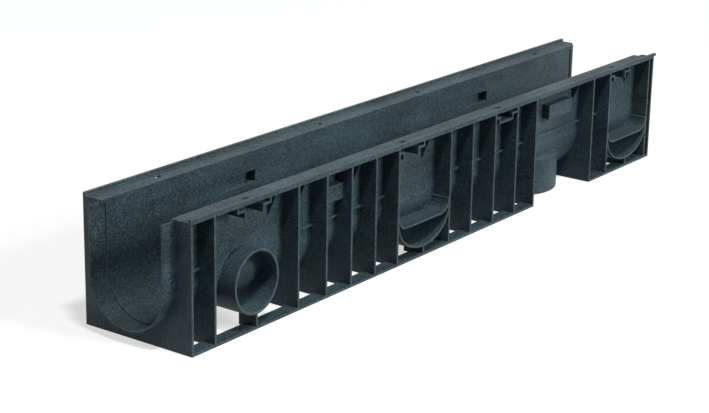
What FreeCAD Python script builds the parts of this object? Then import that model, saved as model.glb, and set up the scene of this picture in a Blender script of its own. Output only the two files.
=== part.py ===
import FreeCAD, Part
import math
import os

# A one-metre drainage channel of nominal bore 100, moulded in one piece from
# polypropylene: a U trough, two rails that carry the grates, full-height
# bulkhead ribs outside, and knock-out outlets between the ribs.
#
# Frame: the origin is on the ground, on the centre line, at the outer face of
# the front end plate. +X runs along the channel, +Y to its left, +Z up.
# Every length is in millimetres.

# ---- overall ----------------------------------------------------------------
body_width = 155.0
body_height = 152.5
wall = 3.5                   # trough wall
rib_wall = 3.0               # bulkhead ribs and end plates
thin_wall = 2.4              # rails, clips, shelves and small webs

# ---- trough -----------------------------------------------------------------
bore_half_width = 50.0       # inner half width, and the radius of its floor
floor_height = 19.5          # ground to the lowest line of the trough

# ---- rails ------------------------------------------------------------------
kerb_height = 3.8            # kerb above the seat of the grate
kerb_width = 4.0
lug_length = 6.0             # one kerb runs on past the far end

# ---- ends -------------------------------------------------------------------
spigot_length = 18.0         # trough that stands out of the front end plate
spigot_wall = 1.7
spigot_chamfer = 1.2
socket_clearance = 4.0       # round a spigot that enters the far end plate
groove_width = 4.0           # sealing groove round the inside of each end
groove_depth = 2.4
front_groove_start = 3.5     # the spigot's wider bore ends here
rear_groove_setback = 6.0    # from the trough's far end to its groove

# ---- bays between the ribs, from the front end on ---------------------------
# Each bay runs from the middle of one rib to the middle of the next.
BAYS = (
    ("plain", 38.0),
    ("side_outlet", 142.0),
    ("plain", 51.5),
    ("plain", 47.0),
    ("plain", 47.5),
    ("plain", 45.5),
    ("side_channel", 110.0),
    ("plain", 49.5),
    ("plain", 51.5),
    ("plain", 52.0),
    ("plain", 47.5),
    ("bottom_outlet", 148.5),
    ("plain", 45.5),
    ("side_channel", 112.0),
    ("end", 12.0),
)

# ---- foot, ledge and webs ---------------------------------------------------
foot_width = 18.5            # strip along each edge of the base
foot_wall = 3.0
ledge_height = 85.0          # thin ledge along the outside of the trough
ledge_depth = 4.0
web_depth = 15.0             # triangular webs that prop the rails
web_height = 33.0
shortest_webbed_gap = 30.0

# ---- T-slots under the rails, with a hole in the rail above each ------------
CLIP_PLACES = (103.0, 395.5, 606.5, 902.0)
clip_half_width = 28.5
clip_slot_half_width = 14.0
clip_ledge_drop = 4.5        # rail's underside to the ledges
clip_depth = 14.0            # rail's underside to the foot of the clip
rail_hole_length = 10.5
rail_hole_width = 8.0
floored_clip = CLIP_PLACES[2]    # this T-slot has a floor

# ---- lock pockets for the bars of the grates --------------------------------
LOCK_PLACES = (247.0, 747.0)
lock_stagger = 16.0          # the pockets of a lock stand this far to each side
lock_length = 54.0
lock_height = 14.5
lock_drop = 24.5             # seat of the grate to the top of the pocket
lock_depth = 13.0            # from the inside of the trough
lock_shallow_depth = 2.0     # where the ramp ends
lock_deep_length = 14.0

# ---- round side outlet ------------------------------------------------------
side_outlet_radius = 37.5
side_outlet_wall = 3.0
side_outlet_offset = 69.2    # from the start of its bay
side_outlet_height = 55.0

# ---- knock-out for a channel that joins from the side -----------------------
lower_shelf_spring = 50.0    # where the lower shelf leaves the ribs
lower_shelf_height = 12.0
upper_shelf_height = 43.5
upper_shelf_rise = 18.0
upper_shelf_corner = 17.0

# ---- round bottom outlet ----------------------------------------------------
bottom_outlet_radius = 58.3
bottom_outlet_wall = 3.2     # leaves room for a pipe of 110 mm
bottom_outlet_offset = 74.25    # from the start of its bay
bottom_outlet_shoulder = 55.0
bottom_outlet_fillet = 8.0
bottom_outlet_edge = 2.6     # rounding of its outer edge on the ground

# ---- how close an edge must lie to be picked ---------------------------------
pick_tolerance = 0.01

# ---- derived ----------------------------------------------------------------
half_width = body_width / 2
seat_height = body_height - kerb_height
rail_underside = seat_height - thin_wall
into_rail = rail_underside + thin_wall / 2
outer_half_width = bore_half_width + wall
into_wall = bore_half_width + wall / 2
axis_height = floor_height + bore_half_width
socket_half_width = outer_half_width + socket_clearance
module_length = sum(width for kind, width in BAYS)
trough_end = module_length - BAYS[-1][1] + rib_wall / 2
rail_hole_y = -(half_width - kerb_width + outer_half_width) / 2


# ---- small helpers ----------------------------------------------------------
def at(x, y, z):
    return FreeCAD.Vector(x, y, z)


def block(x0, x1, y0, y1, z0, z1):
    return Part.makeBox(x1 - x0, y1 - y0, z1 - z0, at(x0, y0, z0))


def prism(points, reach):
    """The straight-edged outline through the points, extruded by a vector."""
    return Part.Face(Part.makePolygon(points + points[:1])).extrude(reach)


def mirrored(shape):
    """The same shape on the channel's other side."""
    return shape.mirror(at(0, 0, 0), at(0, 1, 0))


def u_bar(x0, x1, radius, top):
    """A bar with the trough's round-bottomed outline and a flat top."""
    left = at(x0, -radius, axis_height)
    bottom = at(x0, 0, axis_height - radius)
    right = at(x0, radius, axis_height)
    left_top = at(x0, -radius, top)
    right_top = at(x0, radius, top)
    outline = Part.Wire([
        Part.makeLine(left_top, left),
        Part.Arc(left, bottom, right).toShape(),
        Part.makeLine(right, right_top),
        Part.makeLine(right_top, left_top),
    ])
    return Part.Face(outline).extrude(at(x1 - x0, 0, 0))


def u_shell(x0, x1, inner, outer, top):
    """A U-shaped wall between two radii, open at the top."""
    return u_bar(x0, x1, outer, top).cut(u_bar(x0 - wall, x1 + wall, inner, top + wall))


trough_solid = u_bar(-2 * spigot_length, module_length, into_wall, body_height)


def outside_trough(shape):
    """What is left of a shape where the trough's wall is already there."""
    return shape.cut(trough_solid)


# ---- trough, rails and ribs -------------------------------------------------
def trough():
    """The U wall of the channel, and the spigot that it forms in front."""
    body = u_shell(0, trough_end, bore_half_width, outer_half_width, seat_height)
    spigot_inside = outer_half_width - spigot_wall
    spigot = u_shell(-spigot_length, wall, spigot_inside, outer_half_width, rail_underside)
    lips = [
        edge for edge in spigot.Edges
        if edge.BoundBox.XMax < -spigot_length + pick_tolerance
        and edge.BoundBox.YLength > 2 * outer_half_width - pick_tolerance
    ]
    spigot = spigot.makeChamfer(spigot_chamfer, lips)
    return body.fuse(spigot)


def rail(x0, x1, inner_half_width):
    """A flat seat for the grate, with a kerb along its outer edge."""
    points = [
        at(x0, -inner_half_width, seat_height),
        at(x0, -inner_half_width, rail_underside),
        at(x0, -half_width, rail_underside),
        at(x0, -half_width, body_height),
        at(x0, -half_width + kerb_width, body_height),
        at(x0, -half_width + kerb_width, seat_height),
    ]
    return prism(points, at(x1 - x0, 0, 0))


def kerb_lug():
    """The end of one kerb, which laps over the next channel's end."""
    return block(
        module_length - kerb_width, module_length + lug_length,
        -half_width, -half_width + kerb_width, seat_height, body_height,
    )


def bulkhead(x0, opening):
    """A full-width plate across the channel with the trough's U cut out."""
    plate = block(x0, x0 + rib_wall, -half_width, half_width, 0, into_rail)
    return plate.cut(u_bar(x0 - wall, x0 + rib_wall + wall, opening, body_height))


def rib_middles():
    """The middle of each rib between the front plate and the last plate."""
    places = []
    x = 0
    for kind, width in BAYS[:-1]:
        x += width
        places.append(x)
    return places


def bulkheads():
    plates = [bulkhead(0, into_wall)]
    plates += [bulkhead(x - rib_wall / 2, into_wall) for x in rib_middles()]
    plates.append(bulkhead(module_length - rib_wall, socket_half_width))
    return plates


# ---- what repeats along each side, built on the -Y side ----------------------
def foot(x0, x1):
    return block(x0, x1, -half_width, -half_width + foot_width, 0, foot_wall)


def ledge(x0, x1):
    z0 = ledge_height - thin_wall / 2
    return block(x0, x1, -outer_half_width - ledge_depth, -into_wall, z0, z0 + thin_wall)


def web(x):
    """A triangular web between the underside of the rail and the trough."""
    x0 = x - thin_wall / 2
    points = [
        at(x0, -into_wall, into_rail),
        at(x0, -outer_half_width - web_depth, into_rail),
        at(x0, -outer_half_width - web_depth, rail_underside),
        at(x0, -outer_half_width, rail_underside - web_height),
        at(x0, -into_wall, rail_underside - web_height),
    ]
    return prism(points, at(thin_wall, 0, 0))


def clip_reaches(centre):
    """How far a clip's arms go to -X and +X before they meet a rib."""
    ribs = rib_middles()
    before = max([x for x in ribs if x < centre] + [0])
    after = min([x for x in ribs if x > centre])
    grip = thin_wall / 2
    return (
        min(clip_half_width, centre - before + grip),
        min(clip_half_width, after - centre + grip),
    )


def clip_half(centre, side, reach):
    """One side of a T-slot's wall: down, in along the ledge, and down again."""
    ledge_top = rail_underside - clip_ledge_drop
    arm = centre + side * reach
    arm_inside = centre + side * (reach - thin_wall)
    slot = centre + side * clip_slot_half_width
    slot_outside = centre + side * (clip_slot_half_width + thin_wall)
    outline = [
        (arm, into_rail),
        (arm, ledge_top - thin_wall),
        (slot_outside, ledge_top - thin_wall),
        (slot_outside, rail_underside - clip_depth),
        (slot, rail_underside - clip_depth),
        (slot, ledge_top),
        (arm_inside, ledge_top),
        (arm_inside, into_rail),
    ]
    points = [at(x, -half_width, z) for x, z in outline]
    return prism(points, at(0, half_width - into_wall, 0))


def clip_floor(centre):
    """A floor between the feet of a T-slot's two sides."""
    foot_height = rail_underside - clip_depth
    return block(
        centre - clip_slot_half_width - thin_wall, centre + clip_slot_half_width + thin_wall,
        -half_width, -into_wall, foot_height, foot_height + thin_wall,
    )


def clips():
    pieces = [clip_floor(floored_clip)]
    for centre in CLIP_PLACES:
        for side, reach in zip((-1, 1), clip_reaches(centre)):
            pieces.append(clip_half(centre, side, reach))
    return pieces


def rail_hole(x):
    """A round-ended hole through the seat above a T-slot."""
    radius = rail_hole_width / 2
    straight = rail_hole_length / 2 - radius
    z0 = rail_underside - thin_wall
    depth = 3 * thin_wall
    hole = block(
        x - straight, x + straight,
        rail_hole_y - radius, rail_hole_y + radius, z0, z0 + depth,
    )
    for side in (-1, 1):
        hole = hole.fuse(Part.makeCylinder(radius, depth, at(x + side * straight, rail_hole_y, z0)))
    return hole


def webs(boxes):
    """Webs in the middle of each long gap between ribs, clips and boxes."""
    spans = [(0, rib_wall)]
    spans += [(x - rib_wall / 2, x + rib_wall / 2) for x in rib_middles()]
    for centre in CLIP_PLACES:
        back, forward = clip_reaches(centre)
        spans.append((centre - back, centre + forward))
    spans += boxes
    spans.sort()
    places = []
    filled_to = spans[0][1]
    for start, end in spans[1:]:
        if start - filled_to > shortest_webbed_gap:
            places.append((filled_to + start) / 2)
        filled_to = max(filled_to, end)
    return [web(x) for x in places]


# ---- outlets ----------------------------------------------------------------
def side_outlet(x0):
    """A round stub closed by the trough's wall, with a fin below it."""
    centre = x0 + side_outlet_offset
    mouth = at(centre, -half_width, side_outlet_height)
    inward = at(0, 1, 0)
    stub = Part.makeCylinder(side_outlet_radius, half_width, mouth, inward)
    bore = Part.makeCylinder(side_outlet_radius - side_outlet_wall, half_width, mouth, inward)
    below = side_outlet_height - side_outlet_radius + thin_wall / 2
    fin = block(centre - thin_wall / 2, centre + thin_wall / 2, -half_width, -into_wall, 0, below)
    return [outside_trough(stub.cut(bore)), outside_trough(fin)]


def half_ellipse(middle, half, depth):
    """The face below the spring line of a shelf, bounded by half an ellipse."""
    centre = at(middle, -half_width, lower_shelf_spring)
    right = centre + at(half, 0, 0)
    left = centre - at(half, 0, 0)
    curve = Part.Ellipse(right, centre - at(0, 0, depth), centre)
    arc = Part.ArcOfEllipse(curve, 0, math.pi).toShape()
    return Part.Face(Part.Wire([arc, Part.makeLine(left, right)]))


def tray(left, right, bottom, corner):
    """The face inside a flat-bottomed tray with rounded corners."""
    top = upper_shelf_height + upper_shelf_rise
    bend = corner * (1 - math.sqrt(0.5))
    y = -half_width
    outline = [
        Part.makeLine(at(left, y, top), at(left, y, bottom + corner)),
        Part.Arc(
            at(left, y, bottom + corner),
            at(left + bend, y, bottom + bend),
            at(left + corner, y, bottom),
        ).toShape(),
        Part.makeLine(at(left + corner, y, bottom), at(right - corner, y, bottom)),
        Part.Arc(
            at(right - corner, y, bottom),
            at(right - bend, y, bottom + bend),
            at(right, y, bottom + corner),
        ).toShape(),
        Part.makeLine(at(right, y, bottom + corner), at(right, y, top)),
        Part.makeLine(at(right, y, top), at(left, y, top)),
    ]
    return Part.Face(Part.Wire(outline))


def side_channel(x0, x1):
    """Two nested shelves that cradle the end of a channel from the side."""
    middle = (x0 + x1) / 2
    half = (x1 - x0) / 2 - rib_wall / 4
    depth = lower_shelf_spring - lower_shelf_height
    reach = at(0, half_width - into_wall + wall, 0)
    bowl = half_ellipse(middle, half, depth)
    bowl = bowl.cut(half_ellipse(middle, half - thin_wall, depth - thin_wall))
    left = middle - half
    right = middle + half
    cradle = tray(left, right, upper_shelf_height, upper_shelf_corner)
    cradle = cradle.cut(tray(
        left + thin_wall, right - thin_wall,
        upper_shelf_height + thin_wall, upper_shelf_corner - thin_wall,
    ))
    fin = block(
        middle - thin_wall / 2, middle + thin_wall / 2, -half_width, -into_wall + wall,
        0, lower_shelf_height + thin_wall / 2,
    )
    pieces = (bowl.extrude(reach), cradle.extrude(reach), fin)
    return [outside_trough(piece) for piece in pieces]


def bottom_outlet(x0):
    """A round stub under the trough, open below and closed by its floor."""
    base = at(x0 + bottom_outlet_offset, 0, 0)
    inner_shoulder = bottom_outlet_shoulder - bottom_outlet_wall
    inner_radius = bottom_outlet_radius - bottom_outlet_wall
    stub = Part.makeCylinder(bottom_outlet_radius, bottom_outlet_shoulder, base)
    stub = rounded_rim(stub, bottom_outlet_shoulder, bottom_outlet_fillet)
    stub = rounded_rim(stub, 0, bottom_outlet_edge)
    bore = Part.makeCylinder(inner_radius, inner_shoulder, base)
    bore = rounded_rim(bore, inner_shoulder, bottom_outlet_fillet - bottom_outlet_wall)
    bore = bore.cut(u_bar(0, module_length, outer_half_width, body_height))
    return outside_trough(stub.cut(bore))


def rounded_rim(cylinder, height, radius):
    """The same upright cylinder with its rim at this height rounded."""
    rims = [
        edge for edge in cylinder.Edges
        if abs(edge.BoundBox.ZMin - height) < pick_tolerance
        and abs(edge.BoundBox.ZMax - height) < pick_tolerance
    ]
    return cylinder.makeFillet(radius, rims)


# ---- lock pockets -----------------------------------------------------------
def lock_box(x0):
    """The closed box behind a lock pocket, outside the trough's wall."""
    top = seat_height - lock_drop
    return block(
        x0 - thin_wall, x0 + lock_length + thin_wall,
        -bore_half_width - lock_depth - thin_wall, -into_wall,
        top - lock_height - thin_wall, top + thin_wall,
    )


def lock_pocket(x0):
    """The hollow behind the trough's wall: a deep end, then a ramp."""
    bottom = seat_height - lock_drop - lock_height
    outline = [
        (x0, -bore_half_width + wall),
        (x0, -bore_half_width - lock_depth),
        (x0 + lock_deep_length, -bore_half_width - lock_depth),
        (x0 + lock_deep_length, -bore_half_width - lock_depth / 2),
        (x0 + lock_length, -bore_half_width - lock_shallow_depth),
        (x0 + lock_length, -bore_half_width + wall),
    ]
    return prism([at(x, y, bottom) for x, y in outline], at(0, 0, lock_height))


def half_turn(shape, x):
    """A copy turned by half a turn about an upright line on the centre line."""
    copy = shape.copy()
    copy.rotate(at(x, 0, 0), at(0, 0, 1), 180)
    return copy


def lock_starts():
    """The -X end of each pocket on the -Y side."""
    return [centre + lock_stagger - lock_length / 2 for centre in LOCK_PLACES]


# ---- sealing grooves --------------------------------------------------------
def groove(x0):
    """A groove round the inside of the trough, up to just below the rails."""
    top = rail_underside - thin_wall
    return u_bar(x0, x0 + groove_width, bore_half_width + groove_depth, top)


def spigot_bore():
    """The spigot's wider bore, where it runs on through the front plate."""
    top = rail_underside - thin_wall
    return u_bar(-spigot_length, front_groove_start, outer_half_width - spigot_wall, top)


# ---- the whole moulding -----------------------------------------------------
def channel_body():
    shared = []
    x = 0
    for kind, width in BAYS:
        end = x + width
        if kind != "bottom_outlet":
            shared.append(foot(x, end))
        if kind in ("plain", "bottom_outlet"):
            shared.append(ledge(x, end))
        if kind == "side_outlet":
            shared += side_outlet(x)
        if kind == "side_channel":
            shared += side_channel(x, end)
        x = end
    shared += clips()
    shared.append(rail(0, trough_end, bore_half_width))
    shared.append(rail(trough_end - wall, module_length, socket_half_width))

    lock_boxes = []
    lock_pockets = []
    for centre, x0 in zip(LOCK_PLACES, lock_starts()):
        lock_boxes += [lock_box(x0), half_turn(lock_box(x0), centre)]
        lock_pockets += [lock_pocket(x0), half_turn(lock_pocket(x0), centre)]
    near_spans = [(box.BoundBox.XMin, box.BoundBox.XMax) for box in lock_boxes[0::2]]
    far_spans = [(box.BoundBox.XMin, box.BoundBox.XMax) for box in lock_boxes[1::2]]

    pieces = bulkheads() + shared + [mirrored(piece) for piece in shared]
    pieces += webs(near_spans)
    pieces += [mirrored(piece) for piece in webs(far_spans)]
    pieces += lock_boxes
    x = 0
    for kind, width in BAYS:
        if kind == "bottom_outlet":
            pieces.append(bottom_outlet(x))
        x += width
    pieces.append(kerb_lug())

    body = trough().fuse(pieces).removeSplitter()
    rear_groove_start = trough_end - rear_groove_setback - groove_width
    cuts = lock_pockets + [spigot_bore(), groove(front_groove_start), groove(rear_groove_start)]
    for centre in CLIP_PLACES:
        hole = rail_hole(centre)
        cuts += [hole, mirrored(hole)]
    return body.cut(cuts).removeSplitter()


os.makedirs("parts", exist_ok=True)
body = channel_body()
body.exportStep("parts/channel_body.step")
print("channel_body", len(body.Solids), "solid", round(body.Volume / 1000, 1), "cm3", body.isValid())
print("box", body.BoundBox)
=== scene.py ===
# %% [markdown]
# # A channel drain moulded in one piece
#
# The object is the body of a line drain, one metre long. It is a U-shaped
# trough of dark grey polypropylene with full-height ribs outside it, rails
# along its top for a grate, and knock-out outlets between the ribs. It comes
# out of the mould as a single piece, so there is nothing to assemble, and the
# exact solid has nearly the whole shape. What is left for this lesson is a
# stretch of shelf under the trough, and what makes the plastic look moulded:
# soft edges, the fine grain of the mould's surface, faint marks of the flow
# of the melt, light, and a camera.
#
# Its unit is the metre, its X axis runs along the channel, and the origin is
# under the front end plate.

# %% Load the exact model
import math

import bmesh
import bpy
from mathutils import Matrix, Vector


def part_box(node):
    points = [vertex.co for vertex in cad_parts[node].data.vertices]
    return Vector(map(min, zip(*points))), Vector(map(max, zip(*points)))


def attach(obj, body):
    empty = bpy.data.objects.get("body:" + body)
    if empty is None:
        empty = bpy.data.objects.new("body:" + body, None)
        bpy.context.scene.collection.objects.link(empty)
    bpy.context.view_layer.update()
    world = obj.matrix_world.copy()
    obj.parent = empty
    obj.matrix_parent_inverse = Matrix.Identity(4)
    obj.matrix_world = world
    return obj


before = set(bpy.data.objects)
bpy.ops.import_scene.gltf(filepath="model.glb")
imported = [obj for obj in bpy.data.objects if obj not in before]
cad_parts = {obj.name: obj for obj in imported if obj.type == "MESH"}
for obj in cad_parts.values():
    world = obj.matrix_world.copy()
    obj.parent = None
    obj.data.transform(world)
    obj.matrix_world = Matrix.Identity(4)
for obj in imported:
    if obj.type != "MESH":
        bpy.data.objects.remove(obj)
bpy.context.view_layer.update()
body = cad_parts["channel_body"]
low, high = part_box("channel_body")
print("channel body", len(body.data.polygons), "triangles")
print("from", low[:], "to", high[:])

# %% [markdown]
# ## Placing and aiming
#
# Blender keeps data and objects apart: a mesh, a lamp or a camera holds the
# shape or the settings, and an object gives it a place. The first helper
# makes the object and links it to the scene. The second turns two angles,
# one round the upright axis and one above the horizon, into a direction. The
# camera and the lamps are both aimed with it.


# %% Helpers
def place_in_scene(name, data):
    """A new object that holds the data, linked to the scene."""
    placed = bpy.data.objects.new(name, data)
    bpy.context.scene.collection.objects.link(placed)
    return placed


def direction_of(azimuth, elevation):
    """The direction along these angles, one unit long."""
    return Vector((
        math.cos(azimuth) * math.cos(elevation),
        math.sin(azimuth) * math.cos(elevation),
        math.sin(elevation),
    ))


# %% [markdown]
# ## The camera
#
# A camera is easiest to place by where it stands and where it looks. The view
# is from the front right and a little above, through a long lens, so that the
# ribs far away are not much smaller than the near ones. The directions below
# come from three angles, and the last small one turns the picture a little
# about the line of sight.

# %% Camera
lens_mm = 95.45
camera_reach = 50
camera_place = Vector((-1.3771, -1.3037, 0.7539))
camera_azimuth = math.radians(36.46)
camera_elevation = math.radians(-17.63)
camera_roll = math.radians(0.99)


def look(azimuth, elevation, roll):
    """The turn of a camera that looks along these angles."""
    forward = direction_of(azimuth, elevation)
    right = forward.cross(Vector((0, 0, 1))).normalized()
    up = right.cross(forward)
    turned_right = math.cos(roll) * right + math.sin(roll) * up
    turned_up = math.cos(roll) * up - math.sin(roll) * right
    return Matrix((turned_right, turned_up, -forward)).transposed().to_4x4()


camera = place_in_scene("camera", bpy.data.cameras.new("camera"))
camera.data.lens = lens_mm
camera.data.clip_end = camera_reach
camera.matrix_world = Matrix.Translation(camera_place) @ look(
    camera_azimuth, camera_elevation, camera_roll
)
bpy.context.scene.camera = camera
bpy.context.scene.view_settings.view_transform = "Standard"
print("camera", lens_mm, "mm at", camera_place[:])

# %% [markdown]
# ## Writing a material as a recipe
#
# A procedural material is a small program of nodes. Linking nodes by hand in
# code is long and hard to read, so this helper lets Python's own operators
# add the Math nodes: `1 - mask * 0.3` becomes two nodes and their links. Any
# other node is made by one method, which takes the node's type, its settings
# and the values or links of its sockets. The world has nodes too, so the same
# recipe serves the backdrop.


# %% Shader maths
class Value:
    """A number that varies over a surface, as the output of a node."""

    def __init__(self, recipe, socket):
        self.recipe = recipe
        self.socket = socket

    def maths(self, operation, *others):
        values = {place: other for place, other in enumerate(others)}
        return self.recipe.node("ShaderNodeMath", {"operation": operation}, values)

    def __add__(self, other):
        return self.maths("ADD", self, other)

    def __radd__(self, other):
        return self.maths("ADD", other, self)

    def __sub__(self, other):
        return self.maths("SUBTRACT", self, other)

    def __rsub__(self, other):
        return self.maths("SUBTRACT", other, self)

    def __mul__(self, other):
        return self.maths("MULTIPLY", self, other)

    def __rmul__(self, other):
        return self.maths("MULTIPLY", other, self)


class Recipe:
    """The nodes of one material, or of the world."""

    def __init__(self, owner):
        self.owner = owner
        owner.use_nodes = True
        self.tree = owner.node_tree
        self.tree.nodes.clear()

    def node(self, kind, settings=None, sockets=None, output=0):
        """A new node: its settings first, then its sockets."""
        made = self.tree.nodes.new(kind)
        for name, setting in (settings or {}).items():
            setattr(made, name, setting)
        for name, value in (sockets or {}).items():
            if isinstance(value, Value):
                self.tree.links.new(value.socket, made.inputs[name])
            else:
                made.inputs[name].default_value = value
        return Value(self, made.outputs[output]) if len(made.outputs) else made

    def noise(self, where, scale, detail, roughness):
        """Cloudy noise between 0 and 1, about 0.5 on average."""
        return self.node(
            "ShaderNodeTexNoise",
            {"noise_dimensions": "3D"},
            {
                "Vector": where,
                "Scale": scale,
                "Detail": detail,
                "Roughness": roughness,
            },
        )

    def spread(self, value, start, end):
        """The value stretched so that start is 0 and end is 1, and held there."""
        return self.node(
            "ShaderNodeMapRange",
            {"clamp": True},
            {"Value": value, "From Min": start, "From Max": end},
        )

    def mix(self, factor, first, second):
        """A colour between two colours."""
        factor_in, first_in, second_in, colour_out = 0, 6, 7, 2
        return self.node(
            "ShaderNodeMix",
            {"data_type": "RGBA"},
            {factor_in: factor, first_in: first, second_in: second},
            output=colour_out,
        )

    def mix_shaders(self, factor, first, second):
        """A surface between two surfaces."""
        return self.node(
            "ShaderNodeMixShader", None, {0: factor, 1: first, 2: second}
        )

    def in_view(self):
        """1 for what the camera sees, also in a mirror or through glass, else 0."""
        seen = self.node("ShaderNodeLightPath")
        rays = seen.socket.node.outputs
        for ray in ("Is Glossy Ray", "Is Transmission Ray"):
            seen = seen.maths("MAXIMUM", seen, Value(self, rays[ray]))
        return seen

    def finish(self, shader, output="ShaderNodeOutputMaterial"):
        self.node(output, None, {"Surface": shader})
        print(self.owner.name, "of", len(self.tree.nodes), "nodes")
        return self.owner


# %% [markdown]
# ## The plastic
#
# The channel is injection moulded from dark grey polypropylene. Three scales
# of detail make that plastic recognisable. The mould is spark eroded, which
# leaves a grain finer than a millimetre that breaks up every reflection. The
# colour is not quite even: pale and dark specks of filler lie in it, and
# broad clouds show where the melt flowed. And the surface is a little
# smoother where the part was handled or rubbed against others in a stack.
#
# All of it is read from Object coordinates, so the pattern has a true size in
# metres and stays put on the part.
#
# The four noises are added up in fixed shares, and the levels say which part
# of the sum runs from the dark grey to the pale one.

# %% Grained polypropylene
grain_size = 0.0010
speck_size = 0.0022
cloud_size = 0.09
flow_size = cloud_size / 4
flow_stretch = 6.0
cloud_share, flow_share, speck_share, grain_share = 0.16, 0.14, 0.40, 0.30
dark_level, pale_level = 0.43, 0.59
fewest_specks, most_specks = 0.60, 0.70
speck_cover = 0.5
dark_grey = (0.0077, 0.0131, 0.0155, 1)
pale_grey = (0.0480, 0.0800, 0.0950, 1)
speck_grey = (0.0850, 0.1250, 0.1420, 1)
# Paler colours for the bevelled edges: painted highlight, standing in for the light
# that the rounded edges catch.
edge_highlight_dark = (0.0300, 0.0430, 0.0480, 1)
edge_highlight_pale = (0.0800, 0.1080, 0.1180, 1)

body_dullness = 0.56
edge_dullness = 0.48
grain_dullness = 0.10
rubbed_smoothness = 0.08
least_rubbed, most_rubbed = 0.45, 0.7
shine = 0.25
relief_strength = 0.45
relief_depth = 0.00025
grain_relief, speck_relief = 0.6, 0.4


def grained_plastic(name, dark, pale, dullness):
    """Dark polypropylene with the grain of an eroded mould."""
    recipe = Recipe(bpy.data.materials.new(name))
    where = recipe.node("ShaderNodeTexCoord", output=3)
    along = recipe.node(
        "ShaderNodeMapping", None,
        {"Vector": where, "Scale": (1 / flow_stretch, 1, 1)},
    )
    clouds = recipe.noise(where, 1 / cloud_size, 4, 0.6)
    flow = recipe.noise(along, 1 / flow_size, 3, 0.55)
    specks = recipe.noise(where, 1 / speck_size, 3, 0.65)
    grain = recipe.noise(where, 1 / grain_size, 2, 0.6)

    blend = (
        cloud_share * clouds + flow_share * flow
        + speck_share * specks + grain_share * grain
    )
    colour = recipe.mix(recipe.spread(blend, dark_level, pale_level), dark, pale)
    pale_specks = recipe.spread(specks, fewest_specks, most_specks)
    colour = recipe.mix(speck_cover * pale_specks, colour, speck_grey)

    rubbed = recipe.spread(clouds, least_rubbed, most_rubbed)
    roughness = dullness + grain_dullness * grain - rubbed_smoothness * rubbed
    relief = recipe.node(
        "ShaderNodeBump", None,
        {
            "Strength": relief_strength,
            "Distance": relief_depth,
            "Height": grain_relief * grain + speck_relief * specks,
        },
    )
    shader = recipe.node(
        "ShaderNodeBsdfPrincipled", None,
        {
            "Base Color": colour,
            "Roughness": roughness,
            "Normal": relief,
            "Specular IOR Level": shine,
        },
    )
    return recipe.finish(shader)


plastic = grained_plastic(
    "grained_polypropylene", dark_grey, pale_grey, body_dullness
)
# The edge material's paler colours are painted highlight on the rounded edges.
edge_highlight_plastic = grained_plastic("painted_edge_highlight", edge_highlight_dark, edge_highlight_pale, edge_dullness)

# %% [markdown]
# ## Soft edges
#
# No moulded edge is sharp, because the mould's own corners are rounded. The
# exact solid has sharp edges, which keeps its faces few, so they are softened
# here. Blender could do that in the shader, but real geometry also shows in the
# outline and in the mesh itself, so a Bevel modifier is used. The model
# arrives as loose triangles, so a Weld modifier joins them first. Only edges
# of more than 60 degrees are rounded: the others are facets of surfaces that
# are round already. The bevel also takes the second material. Its paler
# colours are painted highlight, standing in for the light the rounded edges catch.

# %% Soften the body's edges
edge_radius = 0.00045
edge_facets = 2
sharp_angle = math.radians(60)
join_distance = 0.00001
# The bevel's material slot holds the painted edge highlight.
edge_highlight_slot = 1


def soften(piece):
    """Weld a mesh of loose triangles and round its sharp edges."""
    weld = piece.modifiers.new("join_triangles", "WELD")
    weld.merge_threshold = join_distance
    bevel = piece.modifiers.new("soft_edges", "BEVEL")
    bevel.width = edge_radius
    bevel.segments = edge_facets
    bevel.limit_method = "ANGLE"
    bevel.angle_limit = sharp_angle
    bevel.use_clamp_overlap = False
    bevel.material = edge_highlight_slot
    normals = piece.modifiers.new("even_shading", "WEIGHTED_NORMAL")
    normals.keep_sharp = True


body.data.materials.clear()
body.data.materials.append(plastic)
body.data.materials.append(edge_highlight_plastic)
soften(body)
depsgraph = bpy.context.evaluated_depsgraph_get()
print("softened body", len(body.evaluated_get(depsgraph).data.polygons), "faces")

# %% [markdown]
# ## The inner part of the lower shelves
#
# Each lower shelf of a side channel runs on inwards below the trough until it
# meets the trough's round underside. The exact solid stops it short, so the
# rest is added here, from the same sizes in metres. A flat grid is bent into
# half an ellipse: one of its directions becomes the angle along the curve,
# and the other runs from the shelf that is there to the trough. Solidify then
# gives it the wall's thickness, half to each side, so the grid itself lies
# half a wall inside the shelf's outer curve.

# %% Inner shelves
shelf_bays = ((0.3715, 0.4815), (0.8760, 0.9880))
shelf_wall = 0.0024
shelf_spring = 0.0500
shelf_depth = 0.0380
shelf_side_gap = 0.00075
shelf_end = 0.0487
shelf_facets = 28
shelf_rows = 5
first_angle = math.radians(7)
trough_radius = 0.0535
trough_axis = 0.0695


def trough_half_width(height):
    """Half the width of the trough's outside at a height."""
    drop = trough_axis - height
    return math.sqrt(max(trough_radius ** 2 - drop ** 2, 0))


def bend_shelf(shape, start, end, side):
    """A grid bent to the lower shelf of one bay, on one side."""
    middle = (start + end) / 2
    half = (end - start) / 2 - shelf_side_gap - shelf_wall / 2
    depth = shelf_depth - shelf_wall / 2
    grid = bmesh.ops.create_grid(
        shape, x_segments=shelf_facets, y_segments=shelf_rows, size=1
    )
    for point in grid["verts"]:
        along, inwards = (point.co.x + 1) / 2, (point.co.y + 1) / 2
        angle = first_angle + along * (math.pi - 2 * first_angle)
        height = shelf_spring - depth * math.sin(angle)
        inner = min(trough_half_width(height), shelf_end)
        across = shelf_end + (inner - shelf_end) * inwards
        point.co = (middle - half * math.cos(angle), side * across, height)


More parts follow.
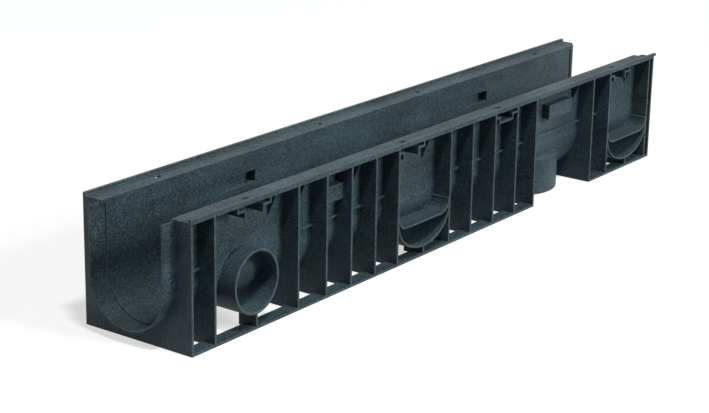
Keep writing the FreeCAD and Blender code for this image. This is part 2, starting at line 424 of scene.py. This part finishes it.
shelf_mesh = bpy.data.meshes.new("inner_shelves")
shelf_shape = bmesh.new()
for start, end in shelf_bays:
    for side in (-1, 1):
        bend_shelf(shelf_shape, start, end, side)
bmesh.ops.recalc_face_normals(shelf_shape, faces=shelf_shape.faces)
shelf_shape.to_mesh(shelf_mesh)
shelf_shape.free()
shelf_mesh.materials.append(plastic)
shelves = place_in_scene("inner_shelves", shelf_mesh)
thicken = shelves.modifiers.new("wall", "SOLIDIFY")
thicken.thickness = shelf_wall
thicken.offset = 0
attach(shelves, "root")
print("inner shelves", len(shelf_mesh.polygons), "faces")

# %% [markdown]
# ## Floor, lamps and backdrop
#
# A dark object on white needs light that shapes it without filling its
# hollows. A large, slightly blue lamp stands to the right of the channel,
# less than a third of the way up from the floor to overhead. It lights the
# ribs' edges and the wall between them, and the rail's shadow falls on that
# wall. A smaller lamp, high over the front right, lights what faces up. The
# largest stands low on the left and keeps the far side readable, and the sky
# of the studio fills the rest.
#
# The floor is plain and diffuse. To the camera, and in what is mirrored or
# seen through, it is white and gives off some light as well, so that it reads
# as white and still keeps the object's shadow. The light that it sends back
# up on to the ribs is that of a duller floor. The backdrop works the same
# way: white to the camera, and a dim sky to everything else.

# %% Floor
floor_size = 12.0
floor_white = (0.98, 0.98, 0.98, 1)
floor_grey = (0.30, 0.31, 0.32, 1)
floor_glow = 0.60
white = (1, 1, 1, 1)


def pale_floor():
    """A wide floor that is white in view and grey to the light it returns."""
    recipe = Recipe(bpy.data.materials.new("studio_floor"))
    seen = recipe.in_view()
    matt = recipe.node("ShaderNodeBsdfDiffuse", None, {"Color": floor_white})
    glow = recipe.node("ShaderNodeEmission", None, {"Color": white, "Strength": 1.0})
    bright = recipe.mix_shaders(floor_glow, matt, glow)
    dull = recipe.node("ShaderNodeBsdfDiffuse", None, {"Color": floor_grey})
    surface = recipe.mix_shaders(seen, dull, bright)
    mesh = bpy.data.meshes.new("studio_floor")
    shape = bmesh.new()
    bmesh.ops.create_grid(shape, x_segments=1, y_segments=1, size=floor_size)
    shape.to_mesh(mesh)
    shape.free()
    mesh.materials.append(recipe.finish(surface))
    return place_in_scene("studio_floor", mesh)


pale_floor()

# %% [markdown]
# A lamp's light spreads over a sphere, so its power is the strength wanted at
# the channel times the surface of a sphere of that distance. That way a lamp
# can be moved nearer or further and the picture stays as bright.

# %% Lamps
lamp_distance = 9.0
middle = (low + high) / 2


def lamp(name, azimuth, elevation, size, strength, colour):
    """A square lamp that shines at the middle of the channel."""
    direction = direction_of(math.radians(azimuth), math.radians(elevation))
    light = bpy.data.lights.new(name, "AREA")
    light.size = size
    light.color = colour
    light.energy = strength * 4 * math.pi * lamp_distance ** 2
    placed = place_in_scene(name, light)
    placed.location = middle + lamp_distance * direction
    placed.rotation_euler = direction.to_track_quat("Z", "Y").to_euler()
    print("lamp", name, round(light.energy), "W")


lamp("front_lamp", -81, 27, 2.3, 0.73, (0.90, 0.98, 1.0))
lamp("high_lamp", -120, 66, 1.1, 0.56, (1.0, 1.0, 0.98))
lamp("back_lamp", 105, 15, 4.0, 0.30, (0.95, 0.99, 1.0))

# %% Backdrop
sky_colour = (0.95, 0.97, 1.0, 1)
sky_strength = 0.08


def studio():
    """A world that is white in view and a dim sky to everything else."""
    recipe = Recipe(bpy.data.worlds.new("studio"))
    sky = recipe.node(
        "ShaderNodeBackground", None,
        {"Color": sky_colour, "Strength": sky_strength},
    )
    backdrop = recipe.node("ShaderNodeBackground", None, {"Color": white})
    surface = recipe.mix_shaders(recipe.in_view(), sky, backdrop)
    return recipe.finish(surface, "ShaderNodeOutputWorld")


bpy.context.scene.world = studio()
